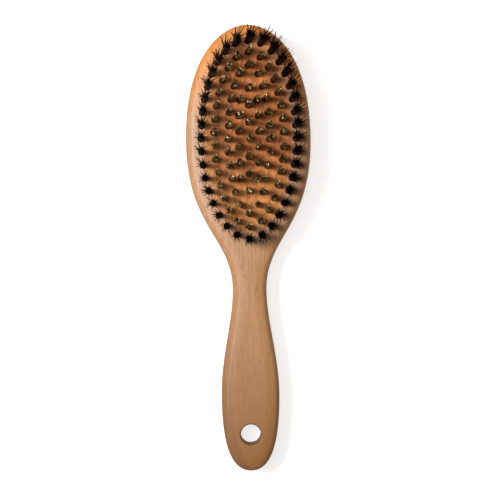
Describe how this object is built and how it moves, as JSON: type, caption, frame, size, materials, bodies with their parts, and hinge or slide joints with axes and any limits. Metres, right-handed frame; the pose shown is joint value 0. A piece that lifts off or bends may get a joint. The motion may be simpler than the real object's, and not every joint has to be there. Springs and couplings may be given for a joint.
{
  "type": "paddle brush",
  "caption": "Wooden hair brush with an oval head of laced black bristle and brass wire tufts, a waisted flat handle and a hanging hole.",
  "frame": {"origin": "centre of the outline's bounding box, on the flat back that the brush lies on", "axes": "+Y along the brush towards the head's tip, +Z out of the head's front, the way the tufts point, +X across"},
  "size_m": [0.0622, 0.222, 0.029],
  "materials": {
    "beech": "satin, lightly oiled",
    "black_bristle": "satin natural bristle",
    "brass_wire": "fine crimped wire, slightly tarnished",
    "draw_wire": "plain drawn wire"
  },
  "bodies": {
    "root": {"stock": "beech", "back_cover": "beech", "bristle_tuft_01": "black_bristle", "bristle_tuft_02": "black_bristle", "bristle_tuft_03": "black_bristle", "bristle_tuft_04": "black_bristle", "bristle_tuft_05": "black_bristle", "bristle_tuft_06": "black_bristle", "bristle_tuft_07": "black_bristle", "bristle_tuft_08": "black_bristle", "bristle_tuft_09": "black_bristle", "bristle_tuft_10": "black_bristle", "bristle_tuft_11": "black_bristle", "bristle_tuft_12": "black_bristle", "bristle_tuft_13": "black_bristle", "bristle_tuft_14": "black_bristle", "bristle_tuft_15": "black_bristle", "bristle_tuft_16": "black_bristle", "bristle_tuft_17": "black_bristle", "bristle_tuft_18": "black_bristle", "bristle_tuft_19": "black_bristle", "bristle_tuft_20": "black_bristle", "bristle_tuft_21": "black_bristle", "bristle_tuft_22": "black_bristle", "bristle_tuft_23": "black_bristle", "bristle_tuft_24": "black_bristle", "bristle_tuft_25": "black_bristle", "bristle_tuft_26": "black_bristle", "bristle_tuft_27": "black_bristle", "bristle_tuft_28": "black_bristle", "bristle_tuft_29": "black_bristle", "bristle_tuft_30": "black_bristle", "bristle_tuft_31": "black_bristle", "bristle_tuft_32": "black_bristle", "bristle_tuft_33": "black_bristle", "bristle_tuft_34": "black_bristle", "bristle_tuft_35": "black_bristle", "bristle_tuft_36": "black_bristle", "bristle_draw_wire_1": "draw_wire", "bristle_draw_wire_2": "draw_wire", "bristle_draw_wire_3": "draw_wire", "bristle_draw_wire_4": "draw_wire", "brass_outer_ring_1": "brass_wire", "brass_outer_ring_2": "brass_wire", "brass_outer_ring_3": "brass_wire", "brass_outer_ring_4": "brass_wire", "brass_outer_ring_5": "brass_wire", "brass_outer_ring_6": "brass_wire", "brass_middle_ring_1": "brass_wire", "brass_middle_ring_2": "brass_wire", "brass_middle_ring_3": "brass_wire", "brass_middle_ring_4": "brass_wire", "brass_inner_ring_1": "brass_wire", "brass_inner_ring_2": "brass_wire", "brass_middle_row": "brass_wire"}
  },
  "joints": []
}
